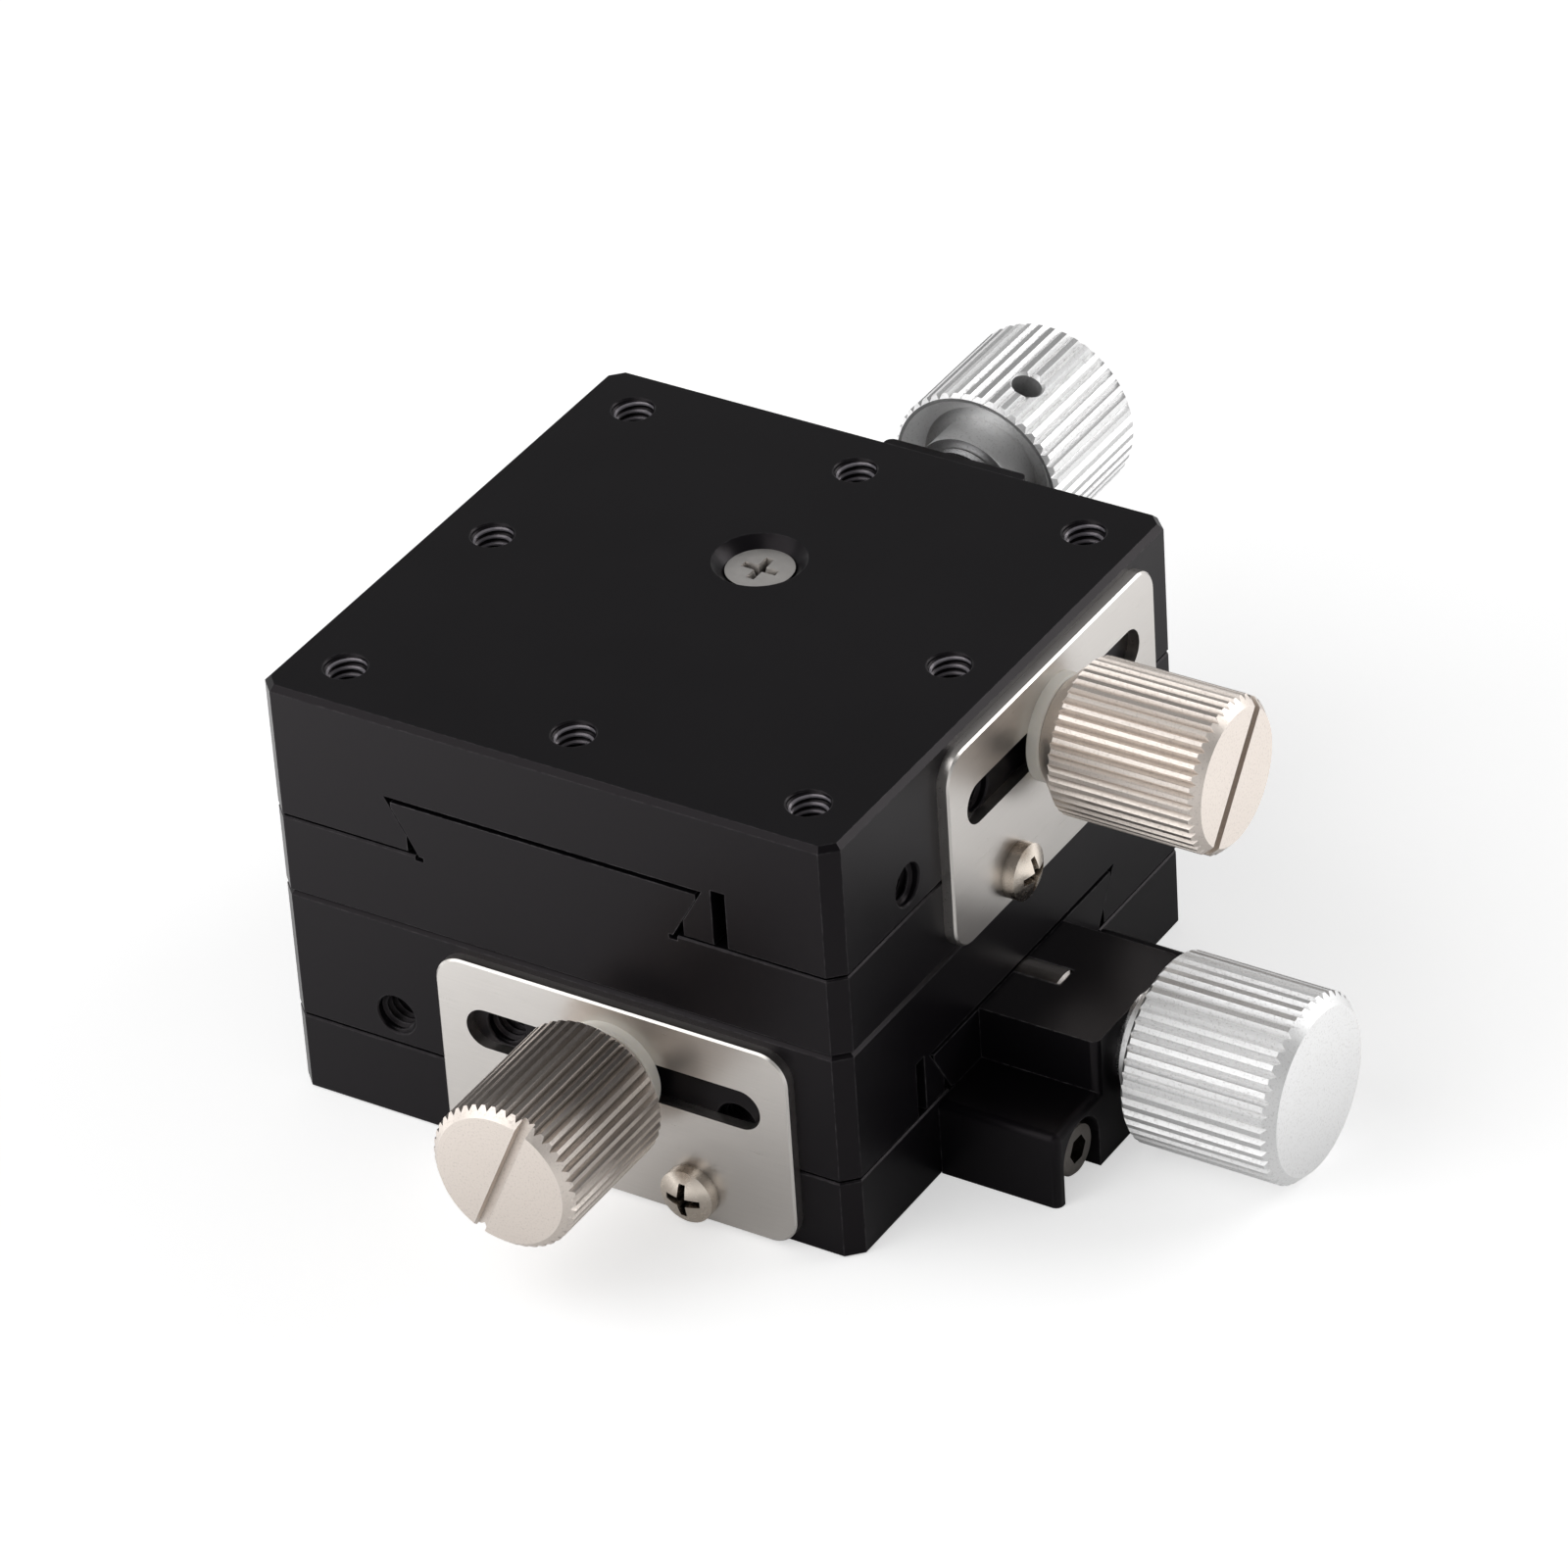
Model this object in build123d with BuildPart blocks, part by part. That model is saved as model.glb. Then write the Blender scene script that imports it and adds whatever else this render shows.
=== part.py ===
from build123d import *
from math import cos, radians, sin, tan
import os

os.makedirs("parts", exist_ok=True)

# A two-axis translation table: one dovetail stage bolted on another at right angles.
# Every piece is drawn in the frame of its own stage and then carried to its place:
# the carriage travels along X, the clamp side faces -Y, the fixed jaw is at +Y, the feed
# knob is at +X, and Z = 0 is the stage's underside.

# ---- driving dimensions, millimetres -------------------------------------------------
hole_pitch = 25.0            # grid of the tapped holes and of the fixing holes
plate_margin = 6.0           # outer hole to the plate's edge
corner_chamfer = 1.5         # upright corners of both plates
top_chamfer = 0.55           # round the carriage's top face
edge_break = 0.15            # the plates' other outer edges
base_height = 8.4            # base plate, without the way
seam = 0.2                   # gap between base and carriage
carriage_height = 14.2       # carriage, underside to top face

way_height = 5.3             # dovetail way above the base plate
way_angle = 60.0             # flank to the horizontal
fixed_foot = 14.3            # feed axis to the foot of the fixed flank
gib_foot = 13.3              # feed axis to the foot of the gib flank
flank_clearance = 0.05       # running clearance, square to each flank
roof_gap = 0.5               # carriage roof above the way
way_edge_cut = 0.6           # height of the flat on the way's sharp edges
relief_width = 0.9           # groove along the foot of each flank
relief_depth = 0.5
way_root = 1.0               # way drawn this far into the plate
lip_height = 1.8             # upright flat on the carriage's two lips
gib_root = 1.0               # thinnest wall of the gib, at the roof
slit_width = 1.5             # slit that frees the gib
slit_rise = 0.5              # slit top above the roof

screw_radius = 2.0           # M4 shank
tap_clearance = 0.05         # tapped hole's root beyond the screw
tap_rim = 0.15               # countersink round each tapped hole
top_tap_depth = 7.0
fixing_clearance = 0.25      # round the shank of a fixing screw
fixing_head_radius = 3.5
fixing_head_height = 4.0
fixing_head_room = 0.2       # round the head and above it
fixing_head_sink = 0.4       # head's top below the base's top
fixing_length = 10.0
fixing_hex = 3.0
fixing_hex_depth = 2.0

feed_radius = 2.5            # feed screw and its journals
feed_clearance = 0.03        # running clearance in nut, bush and bracket
bush_roof_gap = 0.2          # carriage roof above the bush
travel = 12.5                # each way from the middle
nut_centre = 7.5             # nut and its screw, towards the knob
nut_length = 12.0
nut_half_width = 5.6
nut_edge = 0.6
nut_side_gap = 0.9           # nut to the pocket's walls and, at full travel, its ends
nut_floor_gap = 0.7
pocket_floor = 4.6
pocket_corner = 2.5
nut_spigot_radius = 3.4
nut_spigot_height = 3.0
nut_spigot_clearance = 0.1
nut_screw_radius = 1.7
nut_screw_clearance = 0.15   # in the carriage
nut_screw_head_radius = 3.35
nut_screw_head_rim = 0.25
nut_screw_rim_radius = 4.6   # countersink at the carriage's top face
nut_screw_seat_gap = 0.02    # head cone to countersink
nut_screw_tip = 0.8          # screw tip above the nut's bore
nut_tap_beyond = 0.4         # tapped hole beyond the tip

bush_spigot_radius = 3.5     # in the base's end wall
bush_flange_radius = 4.5     # in the bracket
bush_flange_length = 5.0
bush_clearance = 0.02
bush_chamfer = 0.4
thrust_flange_radius = 3.3
thrust_flange_length = 2.0
thrust_play = 0.05
thrust_room = 0.25           # round the thrust flange
screw_end_gap = 0.9          # feed screw to the pocket's far end
screw_end_chamfer = 0.5

knob_run_gap = 3.1           # knob to the carriage at full travel
knob_standoff = 3.0          # knob rim to the bracket
foot_step = 0.2              # bracket foot below the base's top
block_rise = 0.15            # bracket block above the way's top
block_half_width = 7.85
bracket_fillet = 0.8
bracket_screw_offset = 11.4
bracket_screw_height = 4.0
bracket_screw_radius = 1.5   # M3
bracket_screw_length = 16.0
small_clearance = 0.15       # round an M3 shank in a plain hole
head_pocket_room = 0.55      # round a bracket screw's head
head_below_face = 0.4
ear_wall = 1.1               # outside the head's pocket
bracket_tap_beyond = 1.5
socket_head_radius = 2.75
socket_head_height = 3.0
socket_hex = 2.5
socket_depth = 1.6
head_chamfer = 0.3

washer_thickness = 0.8       # thrust washer
washer_radius = 4.6
washer_play = 0.1

knob_table_gap = 0.15        # knob above the underside of its stage
knob_length = 15.9
knob_teeth = 44
knob_groove_depth = 0.42
knob_groove_width = 0.8
knob_outer_chamfer = 1.1
knob_inner_chamfer = 0.4
dish_depth = 2.0
dish_rim = 0.75              # flat and chamfer outside the dish
dish_slope = 1.7             # dish narrows by this to its floor
hub_radius = 5.6
knob_end_wall = 4.6          # solid end beyond the bore
feed_screw_end_gap = 0.4     # screw end to the bore's end
set_screw_place = 5.4        # knob rim to the set screw
set_screw_radius = 1.5
set_screw_length = 4.0
set_screw_hex = 1.5
set_screw_hex_depth = 1.5
set_screw_rim = 0.4
flat_depth = 0.3             # flat on the feed screw under the set screw
flat_length = 5.0
lower_knob_turn = 200.0      # set screw's direction, from +Z towards -Y
upper_knob_turn = 20.0

clamp_place = 6.15           # clamp screw from the stage's middle
clamp_above_floor = 5.9      # clamp screw above the carriage's underside
clamp_plate_thickness = 1.2
clamp_plate_lift = 0.3       # plate above the underside of the stage
clamp_plate_drop = 1.2       # plate below the carriage's top face
clamp_plate_corner = 3.0
clamp_plate_end = 3.1        # slot end to the plate's end
clamp_plate_break = 0.2
slot_clearance = 0.15        # each side of the clamp stud
slot_overrun = 1.35          # slot beyond the stud at full travel
plate_screw_spacing = 16.0
plate_screw_height = 3.4
plate_screw_length = 7.0
plate_screw_radius = 1.5
plate_tap_beyond = 1.0
pan_head_radius = 2.8
pan_head_height = 2.35
pan_head_edge = 1.3
cross_width = 0.9
cross_length = 3.8
cross_depth = 1.5
cross_taper = 12.0
clamp_washer_radius = 5.3
clamp_washer_thickness = 1.25
clamp_washer_clearance = 0.1
clamp_washer_edge = 0.15
clamp_seat_radius = 5.1      # knob's inner face, on the washer
clamp_cone_length = 2.5      # cone from that face out to the knurl
clamp_knob_radius = 7.65
clamp_knob_length = 17.9
clamp_knob_chamfer = 0.9
clamp_knob_teeth = 44
clamp_groove_depth = 0.42
clamp_groove_width = 0.7
driver_slot_width = 1.2
driver_slot_depth = 1.3
clamp_stud_reach = 6.5       # stud inside the carriage
clamp_tap_beyond = 2.0
lower_clamp_turn = 24.0      # screwdriver slot, from upright towards +X
upper_clamp_turn = 39.0

gib_screw_place = 18.75      # each way from the middle
gib_screw_above_floor = 3.2
gib_screw_length = 4.5
gib_screw_back = 0.3         # threaded part to the slit
gib_dog_radius = 1.3
gib_screw_hex = 2.0
gib_screw_hex_depth = 1.8

# ---- derived values ------------------------------------------------------------------
half = hole_pitch + plate_margin
plate_side = 2 * half
floor = base_height + seam                        # carriage's underside
stage_height = floor + carriage_height
way_top = base_height + way_height
roof = way_top + roof_gap
feed_height = roof - bush_roof_gap - bush_flange_radius

fixing_floor = base_height - fixing_head_height - fixing_head_sink
tap_radius = screw_radius + tap_clearance
bore_radius = feed_radius + feed_clearance
nut_half = nut_length / 2
pocket_near = nut_centre - nut_half - travel - nut_side_gap
pocket_far = nut_centre + nut_half + travel + nut_side_gap
pocket_half_width = nut_half_width + nut_side_gap

bush_end = half + bush_flange_length
thrust_start = bush_end + thrust_play
thrust_end = thrust_start + thrust_flange_length
thrust_pocket_end = thrust_end + thrust_play
knob_rim = half + travel + knob_run_gap
bracket_end = knob_rim - knob_standoff
bracket_length = bracket_end - half
bracket_seat = bracket_end - head_below_face - socket_head_height
head_pocket = socket_head_radius + head_pocket_room
foot_half_width = bracket_screw_offset + head_pocket + ear_wall
hub_start = bracket_end + washer_thickness + washer_play
knob_end = knob_rim + knob_length
knob_radius = feed_height - knob_table_gap
knob_bore_end = knob_end - knob_end_wall
set_screw_x = knob_rim + set_screw_place

clamp_height = floor + clamp_above_floor
gib_screw_height = floor + gib_screw_above_floor
slot_width = 2 * (screw_radius + slot_clearance)
slot_length = 2 * (travel + slot_overrun) + slot_width
plate_face = -half - clamp_plate_thickness
clamp_knob_start = plate_face - clamp_washer_thickness
clamp_knob_end = clamp_knob_start - clamp_knob_length

corners = [(x, y) for x in (-hole_pitch, hole_pitch) for y in (-hole_pitch, hole_pitch)]
middles = [(-hole_pitch, 0), (hole_pitch, 0), (0, -hole_pitch), (0, hole_pitch)]

feed_axis = Axis((0, 0, feed_height), (1, 0, 0))
clamp_axis = Axis((clamp_place, 0, clamp_height), (0, -1, 0))
feed_section = Plane(origin=(0, 0, feed_height), x_dir=(1, 0, 0), z_dir=(0, -1, 0))


def flank(foot, height, gap=0.0):
    """Distance from the feed axis to a flank at a height, moved out by a clearance."""
    angle = radians(way_angle)
    return foot + gap / sin(angle) + (height - base_height) / tan(angle)


roof_gib_side = flank(gib_foot, roof, flank_clearance)
slit_near = roof_gib_side + gib_root
slit_far = slit_near + slit_width


def side_plane(x, height, depth=0.0):
    """Plane on the clamp side at one point, facing outwards."""
    return Plane(origin=(x, -half + depth, height), x_dir=(1, 0, 0), z_dir=(0, -1, 0))


def end_plane(x, y, height):
    """Plane across the feed axis at one point, facing the knob."""
    return Plane(origin=(x, y, height), x_dir=(0, 1, 0), z_dir=(1, 0, 0))


def revolve_profile(plane, points):
    """Solid of revolution from (radius, distance) corners round the plane's own y."""
    with BuildSketch(plane) as profile:
        with BuildLine():
            Polyline(*points, close=True)
        make_face()
    revolve(profile.sketch, axis=Axis(plane.origin, plane.y_dir))


def hex_socket(plane, across_flats, depth):
    """Hexagonal recess sunk into a screw's end."""
    with BuildSketch(plane) as recess:
        RegularPolygon(across_flats / 2, 6, major_radius=False)
    extrude(recess.sketch, amount=-depth, mode=Mode.SUBTRACT)


def knurled_round(radius, teeth, groove_width, groove_depth):
    """Circle with straight knurl grooves, the section of a knob."""
    Circle(radius)
    with PolarLocations(radius, teeth):
        Polygon(
            (-groove_depth, 0),
            (groove_depth, groove_width),
            (groove_depth, -groove_width),
            align=None,
            mode=Mode.SUBTRACT,
        )


def finish(piece, name, place):
    """Carry a finished piece to its stage, label it and write it."""
    placed = piece.moved(place)
    placed.label = name
    export_step(placed, f"parts/{name}.step")


def socket_screw(seat, head_radius, head_height, shank_radius, length, hexagon, depth):
    """Socket head screw whose head stands on the plane and whose shank runs behind it."""
    with BuildSketch(seat) as head_round:
        Circle(head_radius)
    head = extrude(head_round.sketch, amount=head_height)
    rim = head.faces().sort_by(Axis(seat.origin, seat.z_dir))[-1].edges()
    chamfer(rim, head_chamfer)
    with BuildSketch(seat) as shank_round:
        Circle(shank_radius)
    extrude(shank_round.sketch, amount=-length)
    hex_socket(seat.offset(head_height), hexagon, depth)


def build_stage(stage, carriage_name, place, knob_turn, clamp_turn):
    # Base plate with its dovetail way, nut pocket and fixing holes.
    with BuildPart() as base:
        with BuildSketch() as outline:
            Rectangle(plate_side, plate_side)
            chamfer(outline.vertices(), corner_chamfer)
        plate = extrude(amount=base_height)
        chamfer(plate.edges().group_by(Axis.Z)[-1] + plate.edges().group_by(Axis.Z)[0], edge_break)
        with BuildSketch(Plane.YZ.offset(-half)):
            with BuildLine():
                Polyline(
                    (-gib_foot, base_height - way_root),
                    (-gib_foot, base_height),
                    (-flank(gib_foot, way_top - way_edge_cut), way_top - way_edge_cut),
                    (-flank(gib_foot, way_top - way_edge_cut), way_top),
                    (flank(fixed_foot, way_top - way_edge_cut), way_top),
                    (flank(fixed_foot, way_top - way_edge_cut), way_top - way_edge_cut),
                    (fixed_foot, base_height),
                    (fixed_foot, base_height - way_root),
                    close=True,
                )
            make_face()
        extrude(amount=plate_side)
        with BuildSketch(Plane.YZ.offset(-half)):
            with Locations((fixed_foot, base_height), (-gib_foot, base_height)):
                Rectangle(relief_width, relief_depth, align=(Align.CENTER, Align.MAX))
        extrude(amount=plate_side, mode=Mode.SUBTRACT)
        with BuildSketch(Plane.XY.offset(pocket_floor)):
            with Locations(((pocket_near + pocket_far) / 2, 0)):
                RectangleRounded(pocket_far - pocket_near, 2 * pocket_half_width, pocket_corner)
        extrude(amount=way_top, mode=Mode.SUBTRACT)
        with BuildSketch(end_plane(half, 0, feed_height)):
            Circle(bush_spigot_radius + bush_clearance)
        extrude(amount=pocket_far - half - pocket_corner, mode=Mode.SUBTRACT)
        with Locations(Location((0, 0, base_height))):
            with Locations(*corners):
                CounterBoreHole(
                    screw_radius + fixing_clearance,
                    fixing_head_radius + fixing_head_room,
                    base_height - fixing_floor,
                    base_height,
                )
        with BuildSketch(end_plane(half, 0, bracket_screw_height)):
            with Locations((-bracket_screw_offset, 0), (bracket_screw_offset, 0)):
                Circle(bracket_screw_radius + tap_clearance)
        tapped = bracket_seat - bracket_screw_length - bracket_tap_beyond
        extrude(amount=tapped - half, mode=Mode.SUBTRACT)
        with BuildSketch(side_plane(clamp_place, plate_screw_height)):
            with Locations((-plate_screw_spacing / 2, 0), (plate_screw_spacing / 2, 0)):
                Circle(plate_screw_radius + tap_clearance)
        tapped = plate_screw_length - clamp_plate_thickness + plate_tap_beyond
        extrude(amount=-tapped, mode=Mode.SUBTRACT)
    finish(base.part, f"{stage}_base", place)

    # Carriage with the female way, the slit that frees the gib, and its tapped holes.
    with BuildPart() as carriage:
        with BuildSketch(Plane.XY.offset(floor)) as outline:
            Rectangle(plate_side, plate_side)
            chamfer(outline.vertices(), corner_chamfer)
        block = extrude(amount=carriage_height)
        levels = block.edges().group_by(Axis.Z)
        chamfer(levels[-1], top_chamfer)
        chamfer(carriage.edges().group_by(Axis.Z)[0], edge_break)
        lip = floor + lip_height
        with BuildSketch(Plane.YZ.offset(-half)):
            with BuildLine():
                Polyline(
                    (-flank(gib_foot, lip, flank_clearance), 0),
                    (-flank(gib_foot, lip, flank_clearance), lip),
                    (-roof_gib_side, roof),
                    (flank(fixed_foot, roof, flank_clearance), roof),
                    (flank(fixed_foot, lip, flank_clearance), lip),
                    (flank(fixed_foot, lip, flank_clearance), 0),
                    close=True,
                )
            make_face()
            with Locations((-slit_near, roof + slit_rise)):
                Rectangle(slit_width, roof + slit_rise, align=(Align.MAX, Align.MAX))
        extrude(amount=plate_side, mode=Mode.SUBTRACT)
        with Locations(Location((0, 0, stage_height))):
            with Locations(*corners, *middles):
                CounterSinkHole(tap_radius, tap_radius + tap_rim, top_tap_depth, 90)
            with Locations((nut_centre, 0)):
                CounterSinkHole(
                    nut_screw_radius + nut_screw_clearance, nut_screw_rim_radius, carriage_height, 90
                )
        with BuildSketch(Plane.XY.offset(roof)):
            with Locations((nut_centre, 0)):
                Circle(nut_spigot_radius + nut_spigot_clearance)
        extrude(amount=nut_spigot_height + nut_spigot_clearance, mode=Mode.SUBTRACT)
        with Locations(side_plane(0, gib_screw_height).location):
            with Locations((-gib_screw_place, 0), (gib_screw_place, 0)):
                depth = half - (slit_near + slit_far) / 2
                CounterSinkHole(tap_radius, tap_radius + tap_rim, depth, 90)
        with Locations(side_plane(0, clamp_height).location):
            with Locations((-clamp_place, 0), (clamp_place, 0)):
                depth = clamp_stud_reach + clamp_tap_beyond
                CounterSinkHole(tap_radius, tap_radius + tap_rim, depth, 90)
    finish(carriage.part, carriage_name, place)

    # Feed nut, hung from the carriage's roof by its spigot and one countersunk screw.
    nut_floor = pocket_floor + nut_floor_gap
    with BuildPart() as feed_nut:
        with BuildSketch(Plane.XY.offset(nut_floor)) as outline:
            with Locations((nut_centre, 0)):
                Rectangle(nut_length, 2 * nut_half_width)
            chamfer(outline.vertices(), nut_edge)
        extrude(amount=roof - nut_floor)
        with BuildSketch(Plane.XY.offset(roof)):
            with Locations((nut_centre, 0)):
                Circle(nut_spigot_radius)
        extrude(amount=nut_spigot_height)
        with BuildSketch(end_plane(nut_centre - nut_half, 0, feed_height)):
            Circle(bore_radius)
        extrude(amount=nut_length, mode=Mode.SUBTRACT)
        tip = feed_height + bore_radius + nut_screw_tip
        with BuildSketch(Plane.XY.offset(roof + nut_spigot_height)):
            with Locations((nut_centre, 0)):
                Circle(nut_screw_radius + tap_clearance)
        extrude(amount=tip - nut_tap_beyond - roof - nut_spigot_height, mode=Mode.SUBTRACT)
    finish(feed_nut.part, f"{stage}_feed_nut", place)

    with BuildPart() as nut_screw:
        head_edge = stage_height - (nut_screw_rim_radius - nut_screw_head_radius) + nut_screw_seat_gap
        head_top = head_edge + nut_screw_head_rim
        axis_plane = Plane(origin=(nut_centre, 0, 0), x_dir=(1, 0, 0), z_dir=(0, -1, 0))
        revolve_profile(
            axis_plane,
            [
                (0, tip),
                (nut_screw_radius, tip),
                (nut_screw_radius, head_edge - (nut_screw_head_radius - nut_screw_radius)),
                (nut_screw_head_radius, head_edge),
                (nut_screw_head_radius, head_top),
                (0, head_top),
            ],
        )
        with BuildSketch(Plane(origin=(nut_centre, 0, head_top))):
            Rectangle(cross_length, cross_width)
            Rectangle(cross_width, cross_length)
        extrude(amount=-cross_depth, taper=cross_taper, mode=Mode.SUBTRACT)
    finish(nut_screw.part, f"{stage}_nut_screw", place)

    # Feed line: bush, screw, bracket, thrust washer, knob and its set screw.
    with BuildPart() as feed_bush:
        revolve_profile(
            Plane(origin=(0, 0, feed_height), x_dir=(0, 0, 1), z_dir=(0, 1, 0)),
            [
                (bore_radius, pocket_far),
                (bush_spigot_radius - bush_chamfer, pocket_far),
                (bush_spigot_radius, pocket_far + bush_chamfer),
                (bush_spigot_radius, half),
                (bush_flange_radius, half),
                (bush_flange_radius, bush_end - bush_chamfer),
                (bush_flange_radius - bush_chamfer, bush_end),
                (bore_radius, bush_end),
            ],
        )
    finish(feed_bush.part, f"{stage}_feed_bush", place)

    set_screw_dir = (0, -sin(radians(knob_turn)), cos(radians(knob_turn)))
    set_plane = Plane(origin=(set_screw_x, 0, feed_height), x_dir=(1, 0, 0), z_dir=set_screw_dir)
    flat = feed_radius - flat_depth
    with BuildPart() as feed_screw:
        revolve_profile(
            Plane(origin=(0, 0, feed_height), x_dir=(0, 0, 1), z_dir=(0, 1, 0)),
            [
                (0, pocket_near + screw_end_gap),
                (feed_radius - screw_end_chamfer, pocket_near + screw_end_gap),
                (feed_radius, pocket_near + screw_end_gap + screw_end_chamfer),
                (feed_radius, thrust_start),
                (thrust_flange_radius, thrust_start),
                (thrust_flange_radius, thrust_end),
                (feed_radius, thrust_end),
                (feed_radius, knob_bore_end - feed_screw_end_gap - screw_end_chamfer),
                (feed_radius - screw_end_chamfer, knob_bore_end - feed_screw_end_gap),
                (0, knob_bore_end - feed_screw_end_gap),
            ],
        )
        with BuildSketch(set_plane.offset(flat)):
            Rectangle(flat_length, 2 * feed_radius)
        extrude(amount=feed_radius, mode=Mode.SUBTRACT)
    finish(feed_screw.part, f"{stage}_feed_screw", place)

    with BuildPart() as feed_bracket:
        with BuildSketch(end_plane(half, 0, 0)) as section:
            foot_height = base_height - foot_step
            with Locations((0, 0)):
                Rectangle(2 * foot_half_width, foot_height, align=(Align.CENTER, Align.MIN))
                Rectangle(2 * block_half_width, way_top + block_rise, align=(Align.CENTER, Align.MIN))
        extrude(amount=bracket_length)
        uprights = feed_bracket.edges().filter_by(Axis.X).group_by(Axis.Y)
        fillet(uprights[0].sort_by(Axis.Z)[-1:] + uprights[-1].sort_by(Axis.Z)[-1:], bracket_fillet)
        outer = feed_bracket.edges().filter_by(Axis.Z).group_by(Axis.X)[-1]
        fillet(outer, bracket_fillet)
        with BuildSketch(end_plane(half, 0, feed_height)):
            Circle(bush_flange_radius + bush_clearance)
        extrude(amount=bush_flange_length, mode=Mode.SUBTRACT)
        with BuildSketch(end_plane(bush_end, 0, feed_height)):
            Circle(thrust_flange_radius + thrust_room)
        extrude(amount=thrust_pocket_end - bush_end, mode=Mode.SUBTRACT)
        with BuildSketch(end_plane(thrust_pocket_end, 0, feed_height)):
            Circle(bore_radius)
        extrude(amount=bracket_end - thrust_pocket_end, mode=Mode.SUBTRACT)
        with BuildSketch(end_plane(bracket_seat, 0, bracket_screw_height)):
            with Locations((-bracket_screw_offset, 0), (bracket_screw_offset, 0)):
                Circle(head_pocket)
                Rectangle(2 * head_pocket, 2 * bracket_screw_height, align=(Align.CENTER, Align.MAX))
        extrude(amount=bracket_end - bracket_seat, mode=Mode.SUBTRACT)
        with BuildSketch(end_plane(half, 0, bracket_screw_height)):
            with Locations((-bracket_screw_offset, 0), (bracket_screw_offset, 0)):
                Circle(bracket_screw_radius + small_clearance)
        extrude(amount=bracket_seat - half, mode=Mode.SUBTRACT)
    finish(feed_bracket.part, f"{stage}_feed_bracket", place)

    with BuildPart() as bracket_screws:
        for y in (-bracket_screw_offset, bracket_screw_offset):
            socket_screw(
                end_plane(bracket_seat, y, bracket_screw_height),
                socket_head_radius,
                socket_head_height,
                bracket_screw_radius,
                bracket_screw_length,
                socket_hex,
                socket_depth,
            )
    finish(bracket_screws.part, f"{stage}_bracket_screws", place)

    with BuildPart() as thrust_washer:
        with BuildSketch(end_plane(bracket_end, 0, feed_height)):
            Circle(washer_radius)
            Circle(bore_radius, mode=Mode.SUBTRACT)
        extrude(amount=washer_thickness)
    finish(thrust_washer.part, f"{stage}_thrust_washer", place)

    # The knob's turned profile meets its knurled section: what both share is the knob.
    with BuildPart() as feed_knob:
        with BuildSketch(end_plane(hub_start, 0, feed_height)):
            knurled_round(knob_radius, knob_teeth, knob_groove_width, knob_groove_depth)
        extrude(amount=knob_end - hub_start)
        with BuildSketch(feed_section):
            with BuildLine():
                Polyline(
                    (hub_start, bore_radius),
                    (hub_start, hub_radius),
                    (knob_rim + dish_depth, hub_radius),
                    (knob_rim + dish_depth, knob_radius - dish_rim - dish_slope),
                    (knob_rim, knob_radius - dish_rim),
                    (knob_rim, knob_radius - knob_inner_chamfer),
                    (knob_rim + knob_inner_chamfer, knob_radius),
                    (knob_end - knob_outer_chamfer, knob_radius),
                    (knob_end, knob_radius - knob_outer_chamfer),
                    (knob_end, 0),
                    (knob_bore_end, 0),
                    (knob_bore_end, bore_radius),
                    close=True,
                )
            make_face()
        revolve(axis=feed_axis, mode=Mode.INTERSECT)
        with Locations(set_plane.offset(knob_radius).location):
            CounterSinkHole(
                set_screw_radius + tap_clearance,
                set_screw_radius + set_screw_rim,
                knob_radius,
                90,
            )
    finish(feed_knob.part, f"{stage}_feed_knob", place)

    with BuildPart() as knob_set_screw:
        with BuildSketch(set_plane.offset(flat)):
            Circle(set_screw_radius)
        extrude(amount=set_screw_length)
        hex_socket(set_plane.offset(flat + set_screw_length), set_screw_hex, set_screw_hex_depth)
    finish(knob_set_screw.part, f"{stage}_knob_set_screw", place)

    # Clamp: slotted plate on the base, washer and knurled screw in the carriage.
    plate_bottom = clamp_plate_lift
    plate_height = stage_height - clamp_plate_drop - plate_bottom
    with BuildPart() as clamp_plate:
        with BuildSketch(side_plane(clamp_place, 0)):
            with Locations((0, plate_bottom + plate_height / 2)):
                RectangleRounded(
                    slot_length + 2 * clamp_plate_end, plate_height, clamp_plate_corner
                )
        sheet = extrude(amount=clamp_plate_thickness)
        chamfer(sheet.faces().sort_by(Axis.Y)[0].edges(), clamp_plate_break)
        with BuildSketch(side_plane(clamp_place, 0)):
            with Locations((0, clamp_height)):
                SlotOverall(slot_length, slot_width)
            with Locations(
                (-plate_screw_spacing / 2, plate_screw_height),
                (plate_screw_spacing / 2, plate_screw_height),
            ):
                Circle(plate_screw_radius + small_clearance)
        extrude(amount=clamp_plate_thickness, mode=Mode.SUBTRACT)
    finish(clamp_plate.part, f"{stage}_clamp_plate", place)

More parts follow.
